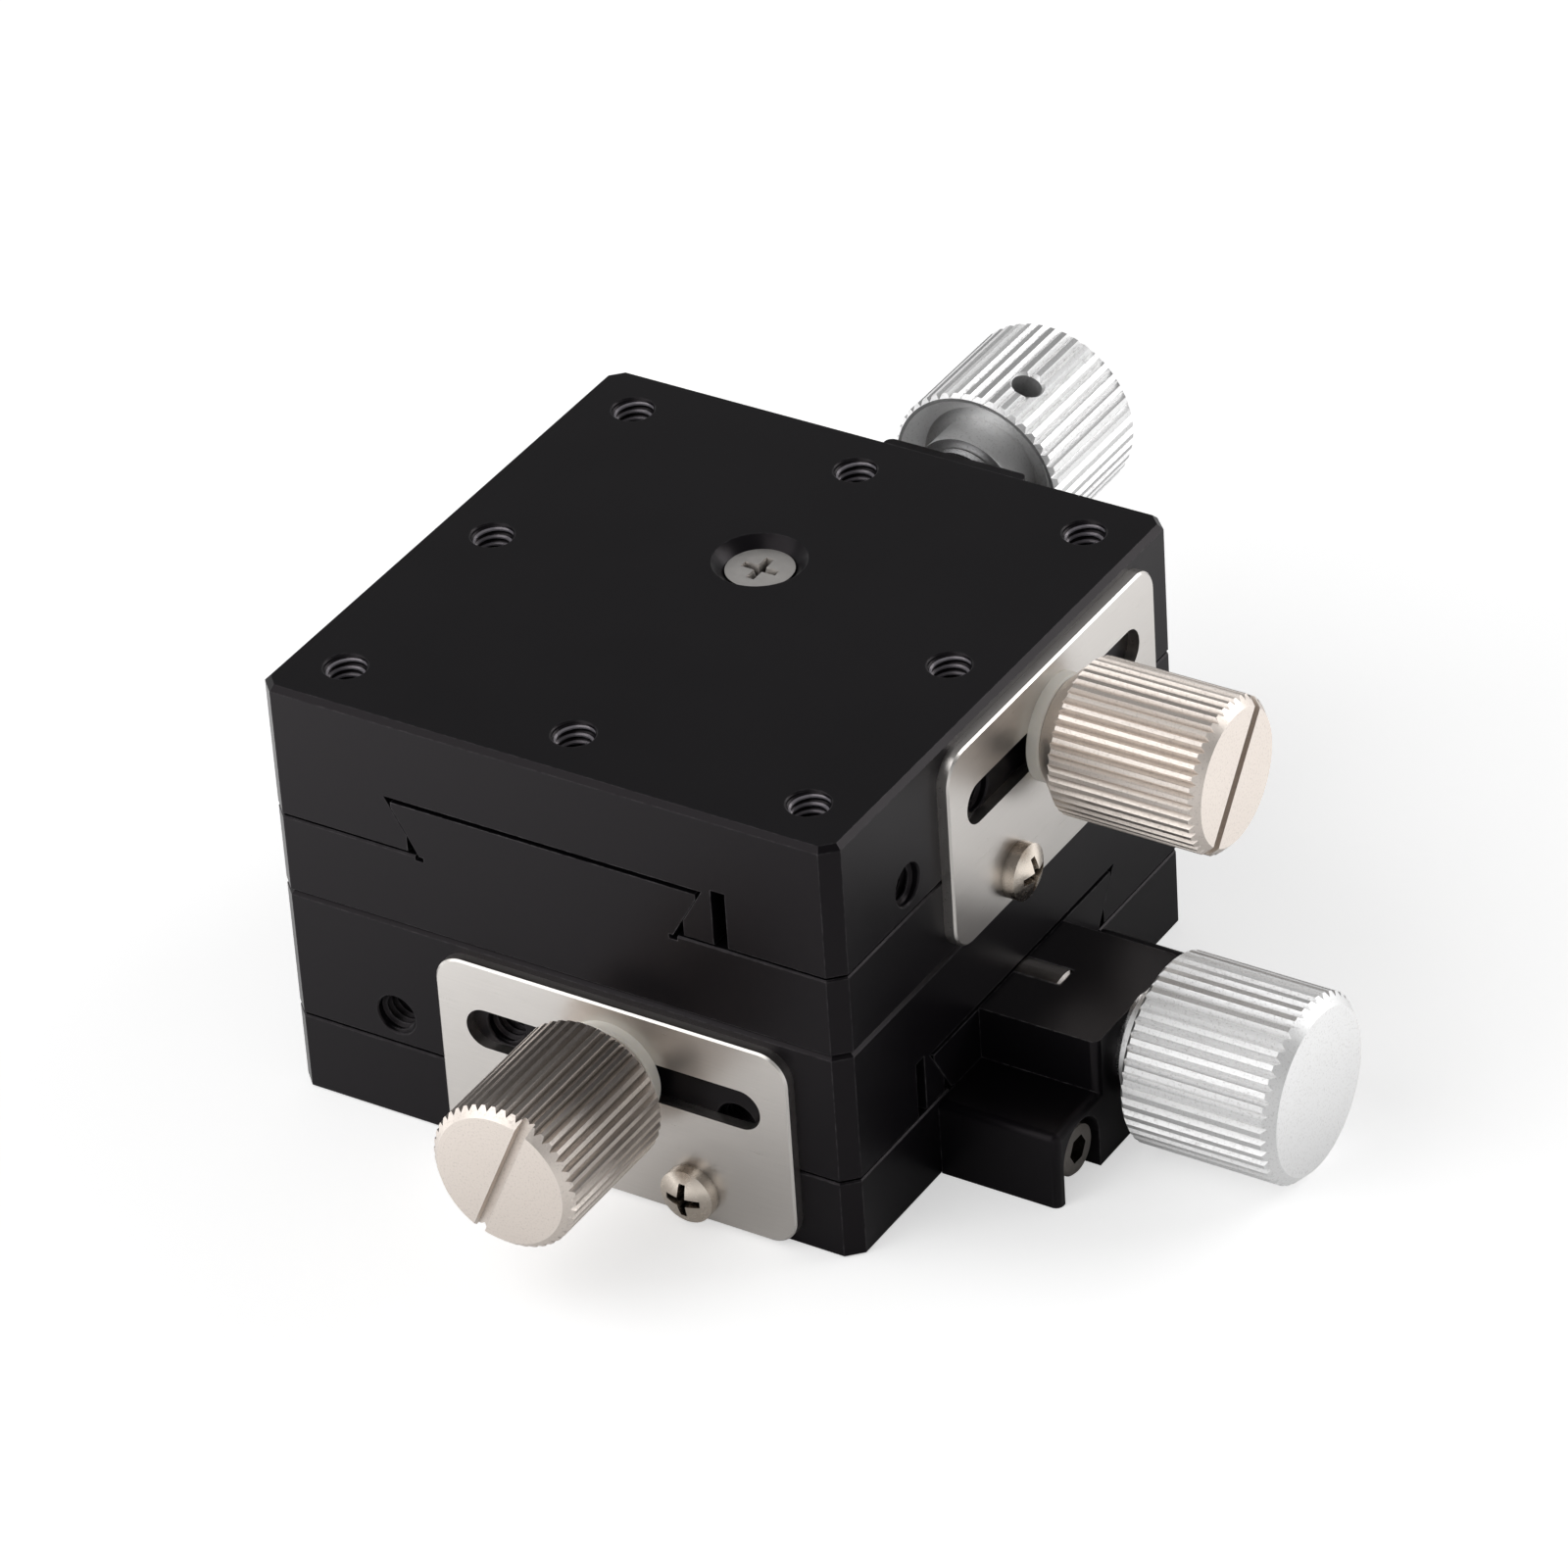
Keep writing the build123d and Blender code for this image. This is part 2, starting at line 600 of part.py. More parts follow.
    with BuildPart() as clamp_plate_screws:
        for x in (clamp_place - plate_screw_spacing / 2, clamp_place + plate_screw_spacing / 2):
            under_head = Plane(
                origin=(x, plate_face, plate_screw_height), x_dir=(1, 0, 0), z_dir=(0, 0, -1)
            )
            with BuildSketch(under_head):
                with BuildLine():
                    Polyline(
                        (0, pan_head_height),
                        (0, -plate_screw_length),
                        (plate_screw_radius, -plate_screw_length),
                        (plate_screw_radius, 0),
                        (pan_head_radius, 0),
                        (pan_head_radius, pan_head_edge),
                    )
                    RadiusArc(
                        (pan_head_radius, pan_head_edge),
                        (0, pan_head_height),
                        -(pan_head_radius**2 / (pan_head_height - pan_head_edge)),
                    )
                make_face()
            revolve(axis=Axis(under_head.origin, (0, -1, 0)))
            head_top = side_plane(x, plate_screw_height, -clamp_plate_thickness - pan_head_height)
            with BuildSketch(head_top):
                Rectangle(cross_length, cross_width)
                Rectangle(cross_width, cross_length)
            extrude(amount=-cross_depth, taper=cross_taper, mode=Mode.SUBTRACT)
    finish(clamp_plate_screws.part, f"{stage}_clamp_plate_screws", place)

    with BuildPart() as clamp_washer:
        with BuildSketch(side_plane(clamp_place, clamp_height, -clamp_plate_thickness)):
            Circle(clamp_washer_radius)
        disc = extrude(amount=clamp_washer_thickness)
        chamfer(disc.faces().sort_by(Axis.Y)[0].edges(), clamp_washer_edge)
        with BuildSketch(side_plane(clamp_place, clamp_height, -clamp_plate_thickness)):
            Circle(screw_radius + clamp_washer_clearance)
        extrude(amount=clamp_washer_thickness, mode=Mode.SUBTRACT)
    finish(clamp_washer.part, f"{stage}_clamp_washer", place)

    with BuildPart() as clamp_knob:
        stud_tip = -half + clamp_stud_reach
        with BuildSketch(side_plane(clamp_place, clamp_height, clamp_stud_reach)):
            knurled_round(
                clamp_knob_radius, clamp_knob_teeth, clamp_groove_width, clamp_groove_depth
            )
        extrude(amount=stud_tip - clamp_knob_end)
        with BuildSketch(Plane(origin=(clamp_place, 0, clamp_height))):
            with BuildLine():
                Polyline(
                    (0, stud_tip),
                    (screw_radius - tap_rim, stud_tip),
                    (screw_radius, stud_tip - tap_rim),
                    (screw_radius, clamp_knob_start),
                    (clamp_seat_radius, clamp_knob_start),
                    (clamp_knob_radius, clamp_knob_start - clamp_cone_length),
                    (clamp_knob_radius, clamp_knob_end + clamp_knob_chamfer),
                    (clamp_knob_radius - clamp_knob_chamfer, clamp_knob_end),
                    (0, clamp_knob_end),
                    close=True,
                )
            make_face()
        revolve(axis=clamp_axis, mode=Mode.INTERSECT)
        with BuildSketch(side_plane(clamp_place, clamp_height, half + clamp_knob_end)):
            with Locations(Location((0, 0), 90 - clamp_turn)):
                Rectangle(2 * clamp_knob_radius, driver_slot_width)
        extrude(amount=-driver_slot_depth, mode=Mode.SUBTRACT)
    finish(clamp_knob.part, f"{stage}_clamp_knob", place)

    # Set screws that press the gib against the way through the slit.
    with BuildPart() as gib_screws:
        for x in (-gib_screw_place, gib_screw_place):
            with BuildSketch(side_plane(x, gib_screw_height, half - slit_near)):
                Circle(gib_dog_radius)
            extrude(amount=slit_width + gib_screw_back)
            body_start = half - slit_far - gib_screw_back
            with BuildSketch(side_plane(x, gib_screw_height, body_start)):
                Circle(screw_radius)
            extrude(amount=gib_screw_length)
            hex_socket(
                side_plane(x, gib_screw_height, body_start - gib_screw_length),
                gib_screw_hex,
                gib_screw_hex_depth,
            )
    finish(gib_screws.part, f"{stage}_gib_screws", place)


build_stage("lower", "lower_carriage", Location(), lower_knob_turn, lower_clamp_turn)
upper_place = Location((0, 0, stage_height), (0, 0, 90))
build_stage("upper", "cross_carriage", upper_place, upper_knob_turn, upper_clamp_turn)

# Four socket screws hold the upper base on the lower carriage's corner holes.
with BuildPart() as stack_screws:
    for x, y in corners:
        socket_screw(
            Plane(origin=(x, y, fixing_floor)),
            fixing_head_radius,
            fixing_head_height,
            screw_radius,
            fixing_length,
            fixing_hex,
            fixing_hex_depth,
        )
finish(stack_screws.part, "stack_screws", upper_place)
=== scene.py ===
import math

import bmesh
import bpy
from mathutils import Matrix, Vector


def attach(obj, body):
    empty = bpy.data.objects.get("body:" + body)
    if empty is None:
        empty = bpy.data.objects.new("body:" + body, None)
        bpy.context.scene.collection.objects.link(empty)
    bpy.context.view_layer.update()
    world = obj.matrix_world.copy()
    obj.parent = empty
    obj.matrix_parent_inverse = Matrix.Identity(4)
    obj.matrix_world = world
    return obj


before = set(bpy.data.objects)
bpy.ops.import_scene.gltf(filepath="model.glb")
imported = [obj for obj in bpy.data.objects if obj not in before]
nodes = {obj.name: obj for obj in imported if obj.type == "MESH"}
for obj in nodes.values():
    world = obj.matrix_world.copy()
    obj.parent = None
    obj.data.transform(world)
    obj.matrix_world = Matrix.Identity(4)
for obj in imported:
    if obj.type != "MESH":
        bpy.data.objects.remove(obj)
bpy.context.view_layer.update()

# All lengths are in metres. The places are those of one stage in its own frame: it travels
# along x, its feed knob is at +x and its clamp side at -y.
MM = 0.001
STAGE_HEIGHT = 22.8 * MM
PLATE_HALF = 31.0 * MM
FEED_HEIGHT = 9.5 * MM  # axis of the feed screw, above the stage's underside
CLAMP_HEIGHT = 14.5 * MM  # axes of the clamp knob and of the spare tapped hole beside it
CLAMP_PLACE = 6.15 * MM  # how far those two axes stand from the middle
GIB_PLACE = 18.75 * MM
GIB_HEIGHT = 11.8 * MM
HOLE_PITCH = 25.0 * MM

# Ridges of the screw threads in the tapped holes.
THREAD_WALL = 2.06 * MM  # radius a little outside the hole's wall, so that no gap shows
THREAD_TOP = 1.68 * MM  # radius of the ridge's crest
THREAD_PITCH = 0.8 * MM
THREAD_LEAD_IN = 0.00008
THREAD_STEPS = 44  # steps in one turn
TOP_HOLE_DEPTH = 6.9 * MM
GIB_HOLE_DEPTH = 6.8 * MM
CLAMP_HOLE_DEPTH = 8.2 * MM

# Deburred edges of the black plates and brackets.
WELD_REACH = 0.000002
DEBURR_WIDTH = 0.00012
DEBURR_ANGLE = 35  # degrees: softer edges than this stay as they are

CAMERA_PLACE = (0.3644, -0.5417, 0.4672)
CAMERA_AZIMUTH, CAMERA_ELEVATION, CAMERA_ROLL = 33.492, 34.152, -3.976  # degrees
CAMERA_LENS, CAMERA_SENSOR = 191.9, 36.0  # millimetres
CAMERA_NEAR, CAMERA_FAR = 0.02, 30.0

FLOOR_DROP = 0.00005  # keeps the floor's face clear of the underside
FLOOR_HALF = 6.0
CAMERA_GLOW = 0.52  # lifts the floor to white for the camera
# Painted reflection: the floor glows in mirrored rays only, with a strength that depends on
# place.
LEFT_GLOW, RIGHT_GLOW, FRONT_GLOW = 0.90, 0.80, 0.30  # what polished faces mirror, by place
SKY_LOW, SKY_HIGH = 0.85, 0.20  # the world's strength near the horizon and higher up
LAMP_AIM = (0, 0, 0.02)

scene = bpy.context.scene

# The two stages: the upper one is the lower one turned a quarter and lifted.
STAGES = {
    "lower": Matrix.Identity(4),
    "upper": Matrix.Translation((0, 0, STAGE_HEIGHT)) @ Matrix.Rotation(math.pi / 2, 4, "Z"),
}
CARRIAGES = {"lower": "lower_carriage", "upper": "cross_carriage"}


def along(stage, vector):
    """Direction of one stage's own frame, in the whole table's frame."""
    return tuple(STAGES[stage].to_3x3() @ Vector(vector))


def point(stage, x, y, z):
    """Point of one stage's own frame, in the whole table's frame."""
    return tuple(STAGES[stage] @ Vector((x, y, z)))


# ---- shader groups ---------------------------------------------------------------------


class Tree:
    """Adds and links nodes in one node tree."""

    def __init__(self, tree):
        self.tree = tree

    def node(self, kind, **inputs):
        """New node; an underscore in an input's name stands for a space."""
        made = self.tree.nodes.new(kind)
        for name, value in inputs.items():
            self.put(made.inputs[name.replace("_", " ")], value)
        return made

    def put(self, socket, value):
        """Links a socket's value, or sets a constant one."""
        if isinstance(value, bpy.types.NodeSocket):
            self.tree.links.new(value, socket)
        else:
            socket.default_value = value

    def math(self, operation, a, b=0.0, clamp=False):
        made = self.tree.nodes.new("ShaderNodeMath")
        made.operation = operation
        made.use_clamp = clamp
        self.put(made.inputs[0], a)
        self.put(made.inputs[1], b)
        return made.outputs[0]

    def vector(self, operation, a, b=(0, 0, 0)):
        made = self.tree.nodes.new("ShaderNodeVectorMath")
        made.operation = operation
        self.put(made.inputs[0], a)
        self.put(made.inputs[1], b)
        return made.outputs["Value" if operation in ("DOT_PRODUCT", "LENGTH") else "Vector"]

    def span(self, value, low, high, to_low=0.0, to_high=1.0):
        """Clamped ramp from to_low at low to to_high at high."""
        made = self.tree.nodes.new("ShaderNodeMapRange")
        self.put(made.inputs["Value"], value)
        for name, number in (
            ("From Min", low),
            ("From Max", high),
            ("To Min", to_low),
            ("To Max", to_high),
        ):
            self.put(made.inputs[name], number)
        return made.outputs["Result"]

    def mix(self, amount, a, b):
        made = self.tree.nodes.new("ShaderNodeMix")
        made.data_type = "RGBA"
        self.put(made.inputs["Factor"], amount)
        self.put(made.inputs["A"], a)
        self.put(made.inputs["B"], b)
        return made.outputs["Result"]

    def noise(self, vector, scale, detail=2.0, roughness=0.5):
        made = self.node("ShaderNodeTexNoise", Vector=vector, Scale=scale, Detail=detail)
        made.inputs["Roughness"].default_value = roughness
        return made.outputs["Fac"]

    def place(self):
        """Object coordinates, in metres."""
        return self.tree.nodes.new("ShaderNodeTexCoord").outputs["Object"]


def group(name, inputs, outputs):
    """Empty node group; returns it, its builder, and its inner ends of inputs and outputs."""
    made = bpy.data.node_groups.new(name, "ShaderNodeTree")
    for kind, side in ((inputs, "INPUT"), (outputs, "OUTPUT")):
        for socket, (socket_type, default) in kind.items():
            item = made.interface.new_socket(socket, in_out=side, socket_type=socket_type)
            if default is not None:
                item.default_value = default
    tree = Tree(made)
    entry = made.nodes.new("NodeGroupInput")
    leave = made.nodes.new("NodeGroupOutput")
    return made, tree, entry.outputs, leave.inputs


VALUE, COLOUR, VECTOR = "NodeSocketFloat", "NodeSocketColor", "NodeSocketVector"


def worn_edge_highlight_group():
    """Mask that is 1 within Width of an edge, for edge wear and a painted edge highlight; Broken
    takes it away in patches.
    """
    made, t, given, out = group(
        "worn_edge_and_highlight", {"Width": (VALUE, 0.0002), "Broken": (VALUE, 0.5)}, {"Mask": (VALUE, None)}
    )
    bevel = t.node("ShaderNodeBevel", Radius=given["Width"])
    bevel.samples = 6
    normal = t.node("ShaderNodeNewGeometry").outputs["Normal"]
    turn = t.vector("DOT_PRODUCT", bevel.outputs["Normal"], normal)
    edge = t.span(turn, 0.995, 0.90)
    patch = t.noise(t.place(), 1300.0, 3.0, 0.6)
    broken = t.span(patch, 0.35, 0.62)
    keep = t.math("SUBTRACT", 1.0, t.math("MULTIPLY", given["Broken"], broken))
    t.put(out["Mask"], t.math("MULTIPLY", edge, keep, clamp=True))
    return made


def grain_group():
    """Fine even texture of a blasted and anodised or moulded skin, and a broad soft cloud."""
    made, t, given, out = group(
        "skin_grain",
        {"Scale": (VALUE, 9000.0), "Height": (VALUE, 0.000002)},
        {"Mask": (VALUE, None), "Cloud": (VALUE, None), "Normal": (VECTOR, None)},
    )
    place = t.place()
    fine = t.noise(place, given["Scale"], 2.0, 0.6)
    cloud = t.noise(place, 55.0, 3.0, 0.55)
    bump = t.node("ShaderNodeBump", Height=fine, Distance=given["Height"])
    bump.inputs["Strength"].default_value = 1.0
    t.put(out["Mask"], fine)
    t.put(out["Cloud"], cloud)
    t.put(out["Normal"], bump.outputs["Normal"])
    return made


def brushed_group():
    """Long fine lines of a brushed or ground face, along the direction that Stretch spares."""
    made, t, given, out = group(
        "brush_lines",
        {"Stretch": (VECTOR, (1, 1, 1)), "Scale": (VALUE, 3000.0), "Height": (VALUE, 0.000002)},
        {"Mask": (VALUE, None), "Normal": (VECTOR, None)},
    )
    drawn = t.vector("MULTIPLY", t.place(), given["Stretch"])
    lines = t.noise(drawn, given["Scale"], 3.0, 0.65)
    bump = t.node("ShaderNodeBump", Height=lines, Distance=given["Height"])
    t.put(out["Mask"], lines)
    t.put(out["Normal"], bump.outputs["Normal"])
    return made


def shade_in_recesses_group():
    """Mask that grows towards 1 in grooves, slots and screw recesses, for painted shade where
    less light reaches.
    """
    made, t, given, out = group(
        "painted_shade_in_recesses", {"Reach": (VALUE, 0.0008)}, {"Mask": (VALUE, None)}
    )
    open_sky = t.node("ShaderNodeAmbientOcclusion", Distance=given["Reach"])
    open_sky.samples = 6
    t.put(out["Mask"], t.span(open_sky.outputs["AO"], 0.85, 0.25))
    return made


def turned_group():
    """Rings that a lathe tool leaves on faces and sides, round an axis through Centre."""
    made, t, given, out = group(
        "tool_rings",
        {
            "Centre": (VECTOR, (0, 0, 0)),
            "Axis": (VECTOR, (0, 0, 1)),
            "Pitch": (VALUE, 0.00015),
            "Height": (VALUE, 0.000004),
        },
        {"Mask": (VALUE, None), "Normal": (VECTOR, None)},
    )
    arm = t.vector("SUBTRACT", t.place(), given["Centre"])
    along = t.vector("DOT_PRODUCT", arm, given["Axis"])
    axial = t.node("ShaderNodeVectorMath")
    axial.operation = "SCALE"
    t.put(axial.inputs[0], given["Axis"])
    t.put(axial.inputs["Scale"], along)
    radial = t.vector("LENGTH", t.vector("SUBTRACT", arm, axial.outputs["Vector"]))
    steps = t.math("DIVIDE", t.math("ADD", radial, along), given["Pitch"])
    row = t.node("ShaderNodeCombineXYZ")
    t.put(row.inputs["X"], steps)
    rings = t.noise(row.outputs["Vector"], 1.0, 2.0, 0.7)
    bump = t.node("ShaderNodeBump", Height=rings, Distance=given["Height"])
    t.put(out["Mask"], rings)
    t.put(out["Normal"], bump.outputs["Normal"])
    return made


WORN_EDGE_HIGHLIGHT = worn_edge_highlight_group()
PAINTED_RECESS_SHADE = shade_in_recesses_group()
SKIN_GRAIN = grain_group()
BRUSH_LINES = brushed_group()
TOOL_RINGS = turned_group()


# ---- materials -------------------------------------------------------------------------


def start(name, metallic, ior=1.5):
    """New material whose shader is already at its output."""
    made = bpy.data.materials.new(name)
    made.use_nodes = True
    made.node_tree.nodes.clear()
    tree = Tree(made.node_tree)
    shader = tree.node("ShaderNodeBsdfPrincipled", Metallic=metallic, IOR=ior)
    output = tree.node("ShaderNodeOutputMaterial")
    tree.put(output.inputs["Surface"], shader.outputs["BSDF"])
    return made, tree, shader


def use(tree, made, **values):
    """Places a group in a tree; returns its outputs."""
    placed = tree.tree.nodes.new("ShaderNodeGroup")
    placed.node_tree = made
    for name, value in values.items():
        tree.put(placed.inputs[name], value)
    return placed.outputs


def anodised(name, dark, light, rough, gloss=0.18):
    """Black anodised aluminium: fine satin skin, faint clouding, lighter edges that are partly
    wear and partly painted highlight.
    """
    made, t, shader = start(name, 0.0)
    shader.inputs["Specular IOR Level"].default_value = gloss
    shader.inputs["Specular Tint"].default_value = (1.0, 0.90, 0.95, 1)
    grain = use(t, SKIN_GRAIN, Scale=7000.0, Height=0.0000016)
    wear_and_highlight = use(t, WORN_EDGE_HIGHLIGHT, Width=0.0002, Broken=0.85)
    base = t.mix(grain["Cloud"], dark, light)
    # Lighter edges: partly wear, partly a painted highlight along the edges.
    base = t.mix(t.math("MULTIPLY", wear_and_highlight["Mask"], 0.35), base, (0.26, 0.25, 0.26, 1))
    t.put(shader.inputs["Base Color"], base)
    smooth = t.span(grain["Cloud"], 0.3, 0.7, rough - 0.03, rough + 0.03)
    t.put(shader.inputs["Roughness"], smooth)
    t.put(shader.inputs["Normal"], grain["Normal"])
    return made


def brushed_metal(
    name, dark, light, rough, stretch=(1, 1, 1), scale=1400.0, height=0.0000015, shade_strength=0.9
):
    """Plated metal: fine lines or, unstretched, fine grain; painted shade darkens recesses;
    lighter edges are partly wear and partly painted highlight.
    """
    made, t, shader = start(name, 1.0)
    lines = use(t, BRUSH_LINES, Stretch=stretch, Scale=scale, Height=height)
    wear_and_highlight = use(t, WORN_EDGE_HIGHLIGHT, Width=0.0002, Broken=0.4)
    base = t.mix(lines["Mask"], dark, light)
    # Painted shade: an ambient occlusion mask darkens recesses towards dark brown.
    if shade_strength:
        painted_shade = use(t, PAINTED_RECESS_SHADE, Reach=0.0009)
        base = t.mix(t.math("MULTIPLY", painted_shade["Mask"], shade_strength), base, (0.040, 0.030, 0.024, 1))
    # Near-white edges: partly wear, partly a painted highlight along the edges.
    base = t.mix(t.math("MULTIPLY", wear_and_highlight["Mask"], 0.1), base, (0.88, 0.87, 0.86, 1))
    t.put(shader.inputs["Base Color"], base)
    t.put(shader.inputs["Roughness"], t.span(lines["Mask"], 0.3, 0.7, rough - 0.05, rough + 0.06))
    t.put(shader.inputs["Normal"], lines["Normal"])
    return made


def turned_metal(name, dark, light, rough, centre, axis, shade_strength=0.55):
    """Lathe-turned metal: rings round its axis, fine specks, painted shade in grooves, lighter
    edges that are partly wear and partly painted highlight.
    """
    made, t, shader = start(name, 1.0)
    rings = use(t, TOOL_RINGS, Centre=centre, Axis=axis, Pitch=0.00016, Height=0.000003)
    wear_and_highlight = use(t, WORN_EDGE_HIGHLIGHT, Width=0.00015, Broken=0.3)
    painted_shade = use(t, PAINTED_RECESS_SHADE, Reach=0.0007)
    grain = use(t, SKIN_GRAIN, Scale=4500.0, Height=0.0)
    base = t.mix(rings["Mask"], dark, light)
    base = t.mix(t.span(grain["Cloud"], 0.35, 0.75, 0.0, 0.35), base, dark)
    base = t.mix(t.span(grain["Mask"], 0.56, 0.70, 0.0, 0.25), base, (0.30, 0.27, 0.25, 1))
    # Painted shade: an ambient occlusion mask darkens grooves and recesses towards dark brown.
    base = t.mix(t.math("MULTIPLY", painted_shade["Mask"], shade_strength), base, (0.16, 0.135, 0.12, 1))
    # Near-white edges: partly wear, partly a painted highlight along the edges.
    base = t.mix(t.math("MULTIPLY", wear_and_highlight["Mask"], 0.2), base, (0.95, 0.94, 0.93, 1))
    t.put(shader.inputs["Base Color"], base)
    ringed = t.span(rings["Mask"], 0.3, 0.7, rough - 0.04, rough + 0.06)
    specks = t.span(grain["Mask"], 0.3, 0.7, -0.06, 0.08)
    t.put(shader.inputs["Roughness"], t.math("ADD", ringed, specks))
    t.put(shader.inputs["Normal"], rings["Normal"])
    return made


def nylon(name, dark, light):
    """Cream plastic that lets a little light through."""
    made, t, shader = start(name, 0.0, 1.53)
    grain = use(t, SKIN_GRAIN, Scale=3000.0, Height=0.000004)
    t.put(shader.inputs["Base Color"], t.mix(grain["Cloud"], dark, light))
    shader.inputs["Roughness"].default_value = 0.45
    shader.inputs["Subsurface Weight"].default_value = 0.3
    shader.inputs["Subsurface Radius"].default_value = (0.002, 0.0018, 0.0014)
    t.put(shader.inputs["Normal"], grain["Normal"])
    return made


# Each material: its darker and lighter colour, then its roughness.
BLACK = anodised(
    "black_anodised", (0.0028, 0.0026, 0.0034, 1), (0.0050, 0.0044, 0.0056, 1), 0.34
)
# Lit copy of the black anodised skin for the threads in the top holes: a painted highlight, far
# lighter and glossier than the black.
THREAD_HIGHLIGHT = anodised(
    "painted_thread_highlight", (0.14, 0.13, 0.15, 1), (0.24, 0.23, 0.25, 1), 0.25, gloss=0.9
)
SCREW = brushed_metal("nickel_screw", (0.80, 0.77, 0.74, 1), (0.92, 0.89, 0.86, 1), 0.40)
PAN_SCREW = brushed_metal("warm_screw", (0.60, 0.53, 0.46, 1), (0.76, 0.69, 0.61, 1), 0.25)
# Painted shade: the bracket's cap screws are a darkened copy of the nickel, for the dark they
# mirror in their counterbores.
SHADED_CAP_SCREW = brushed_metal("shade_darkened_cap_screw", (0.20, 0.18, 0.165, 1), (0.30, 0.275, 0.25, 1), 0.22)
DARK_STEEL = brushed_metal(
    "blackened_steel", (0.05, 0.05, 0.052, 1), (0.09, 0.09, 0.092, 1), 0.35, scale=1500.0
)
NYLON = nylon("cream_nylon", (0.76, 0.73, 0.66, 1), (0.86, 0.83, 0.77, 1))


def dress(name, material):
    """Gives a node its one material."""
    node = nodes[name]
    node.data.materials.clear()
    node.data.materials.append(material)


def soften(name):
    """Breaks a node's sharp edges, as deburring does."""
    node = nodes[name]
    weld = node.modifiers.new("weld", "WELD")
    weld.merge_threshold = WELD_REACH
    bevel = node.modifiers.new("deburr", "BEVEL")
    bevel.width = DEBURR_WIDTH
    bevel.segments = 2
    bevel.limit_method = "ANGLE"
    bevel.angle_limit = math.radians(DEBURR_ANGLE)
    bevel.harden_normals = True


for stage in STAGES:
    travel, side = along(stage, (1, 0, 0)), along(stage, (0, -1, 0))
    feed_centre = point(stage, 0, 0, FEED_HEIGHT)
    clamp_centre = point(stage, CLAMP_PLACE, 0, CLAMP_HEIGHT)
    lines_along_travel = tuple(1.0 - 0.96 * abs(v) for v in travel)
    plate_metal = brushed_metal(
        f"{stage}_plate_nickel",
        (0.68, 0.65, 0.62, 1),
        (0.76, 0.73, 0.70, 1),
        0.32,
        stretch=lines_along_travel,
        scale=5000.0,
        height=0.0000004,
        shade_strength=0.0,
    )
    clamp_metal = turned_metal(
        f"{stage}_warm_nickel",
        (0.70, 0.63, 0.575, 1),
        (0.88, 0.81, 0.75, 1),
        0.40,
        clamp_centre,
        side,
    )
    knob_metal, bush_metal, steel, bronze = (
        turned_metal(f"{stage}_{name}", dark, light, rough, feed_centre, travel, shade_strength)
        for name, dark, light, rough, shade_strength in (
            ("turned_aluminium", (0.80, 0.80, 0.80, 1), (0.92, 0.92, 0.92, 1), 0.45, 0.15),
            # Painted shade: the bush's steel gets a dark colour for the shade it sits in.
            ("shade_darkened_bush", (0.17, 0.16, 0.155, 1), (0.27, 0.255, 0.245, 1), 0.34, 0.55),
            ("ground_steel", (0.42, 0.42, 0.43, 1), (0.56, 0.56, 0.57, 1), 0.24, 0.55),
            ("bronze", (0.42, 0.28, 0.12, 1), (0.56, 0.38, 0.18, 1), 0.30, 0.55),
        )
    )
    for name in (f"{stage}_base", CARRIAGES[stage], f"{stage}_feed_bracket"):
        dress(name, BLACK)
        soften(name)
    for name, material in {
        "feed_nut": bronze,
        "nut_screw": SCREW,
        "bracket_screws": SHADED_CAP_SCREW,
        "feed_bush": bush_metal,
        "feed_screw": steel,
        "thrust_washer": steel,
        "feed_knob": knob_metal,
        "knob_set_screw": DARK_STEEL,
        "clamp_plate": plate_metal,
        "clamp_plate_screws": PAN_SCREW,
        "clamp_knob": clamp_metal,
        "clamp_washer": NYLON,
        "gib_screws": DARK_STEEL,
    }.items():
        dress(f"{stage}_{name}", material)
dress("stack_screws", DARK_STEEL)


# ---- screw threads in the tapped holes ---------------------------------------------------

BLACK_SLOT, HIGHLIGHT_SLOT = 0, 1


def thread_ridge(mesh, mouth, out, depth, highlight_slot):
    """Helical ridge inside a hole whose mouth faces out; it fades in and out."""
    out = Vector(out).normalized()
    first = out.orthogonal().normalized()
    second = out.cross(first)
    turns = (depth - THREAD_LEAD_IN) / THREAD_PITCH - 0.6
    count = int(turns * THREAD_STEPS)
    rows = []
    for i in range(count + 1):
        angle = 2 * math.pi * i / THREAD_STEPS
        fade = min(1.0, i / (THREAD_STEPS * 0.25), (count - i) / (THREAD_STEPS * 0.4))
        top = THREAD_WALL + (THREAD_TOP - THREAD_WALL) * fade
        flank = (THREAD_WALL + top) / 2
        depth_here = THREAD_LEAD_IN + THREAD_PITCH * (0.36 + i / THREAD_STEPS)
        centre = Vector(mouth) - out * depth_here
        arm = first * math.cos(angle) + second * math.sin(angle)
        # The ridge's section: radius, and shift towards the mouth in pitches.
        section = (
            (THREAD_WALL, -0.42),
            (top, -0.16),
            (top, 0.04),
            (flank, 0.2),
            (THREAD_WALL, 0.42),
        )
        rows.append(
            [
                mesh.verts.new(centre + arm * radius + out * (shift * THREAD_PITCH))
                for radius, shift in section
            ]
        )
    for a, b in zip(rows, rows[1:]):
        for j in range(4):
            face = mesh.faces.new((a[j], a[j + 1], b[j + 1], b[j]))
            # The crest and the flank facing the mouth take the painted highlight; the lower flank
            # stays black.
            face.material_index = highlight_slot if j in (1, 2) else BLACK_SLOT


